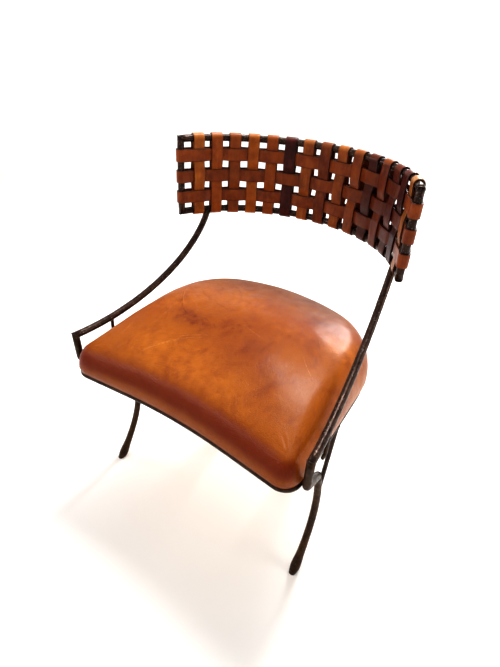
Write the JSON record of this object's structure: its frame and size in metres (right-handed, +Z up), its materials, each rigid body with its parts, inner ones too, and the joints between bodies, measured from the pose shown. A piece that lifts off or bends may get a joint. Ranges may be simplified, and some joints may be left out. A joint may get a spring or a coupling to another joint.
{
  "type": "armchair",
  "caption": "Low armchair: welded round-bar frame with sabre legs and sweeping arms, curved back of woven leather straps, and a crowned leather seat.",
  "frame": {"origin": "on the floor, under the middle of the chair's bounding box", "axes": "+Z up, the sitter faces -Y, +X to the right of someone who faces the chair"},
  "size_m": [0.616, 0.57, 0.8136],
  "materials": {
    "iron": "dark brown oiled wrought iron, hand worked",
    "strap_leather": "hand-dyed saddle leather, waxed",
    "band_leather": "hand-dyed saddle leather, waxed",
    "seat_leather": "glazed saddle leather, mottled and lightly scratched",
    "plywood": "raw",
    "foam": "matte",
    "zinc": "zinc plated"
  },
  "bodies": {
    "root": {"back_top_rail": "iron", "back_bottom_rail": "iron", "back_end_post_left": "iron", "back_end_post_right": "iron", "arm_left": "iron", "arm_right": "iron", "front_post_left": "iron", "front_post_right": "iron", "front_leg_left": "iron", "front_leg_right": "iron", "seat_front_rail": "iron", "seat_rear_bow": "iron", "seat_side_rail_left": "iron", "seat_side_rail_right": "iron", "rear_leg_left": "iron", "rear_leg_right": "iron", "leg_brace_left": "iron", "leg_brace_right": "iron", "arm_strut_left": "iron", "arm_strut_right": "iron", "front_tab_left": "iron", "front_tab_right": "iron", "rear_tab_left": "iron", "rear_tab_right": "iron", "upright_strap_1": "strap_leather", "upright_strap_2": "strap_leather", "upright_strap_3": "strap_leather", "upright_strap_4": "strap_leather", "upright_strap_5": "strap_leather", "upright_strap_6": "strap_leather", "upright_strap_7": "strap_leather", "upright_strap_8": "strap_leather", "upright_strap_9": "strap_leather", "upright_strap_10": "strap_leather", "upright_strap_11": "strap_leather", "upright_strap_12": "strap_leather", "upright_strap_13": "strap_leather", "upright_strap_14": "strap_leather", "upright_strap_15": "strap_leather", "cross_band_1": "band_leather", "cross_band_2": "band_leather", "cross_band_3": "band_leather", "seat_cover": "seat_leather", "seat_foam": "foam", "front_screw_left": "zinc", "front_screw_right": "zinc", "rear_screw_left": "zinc", "rear_screw_right": "zinc", "seat_board": "plywood"}
  },
  "joints": []
}
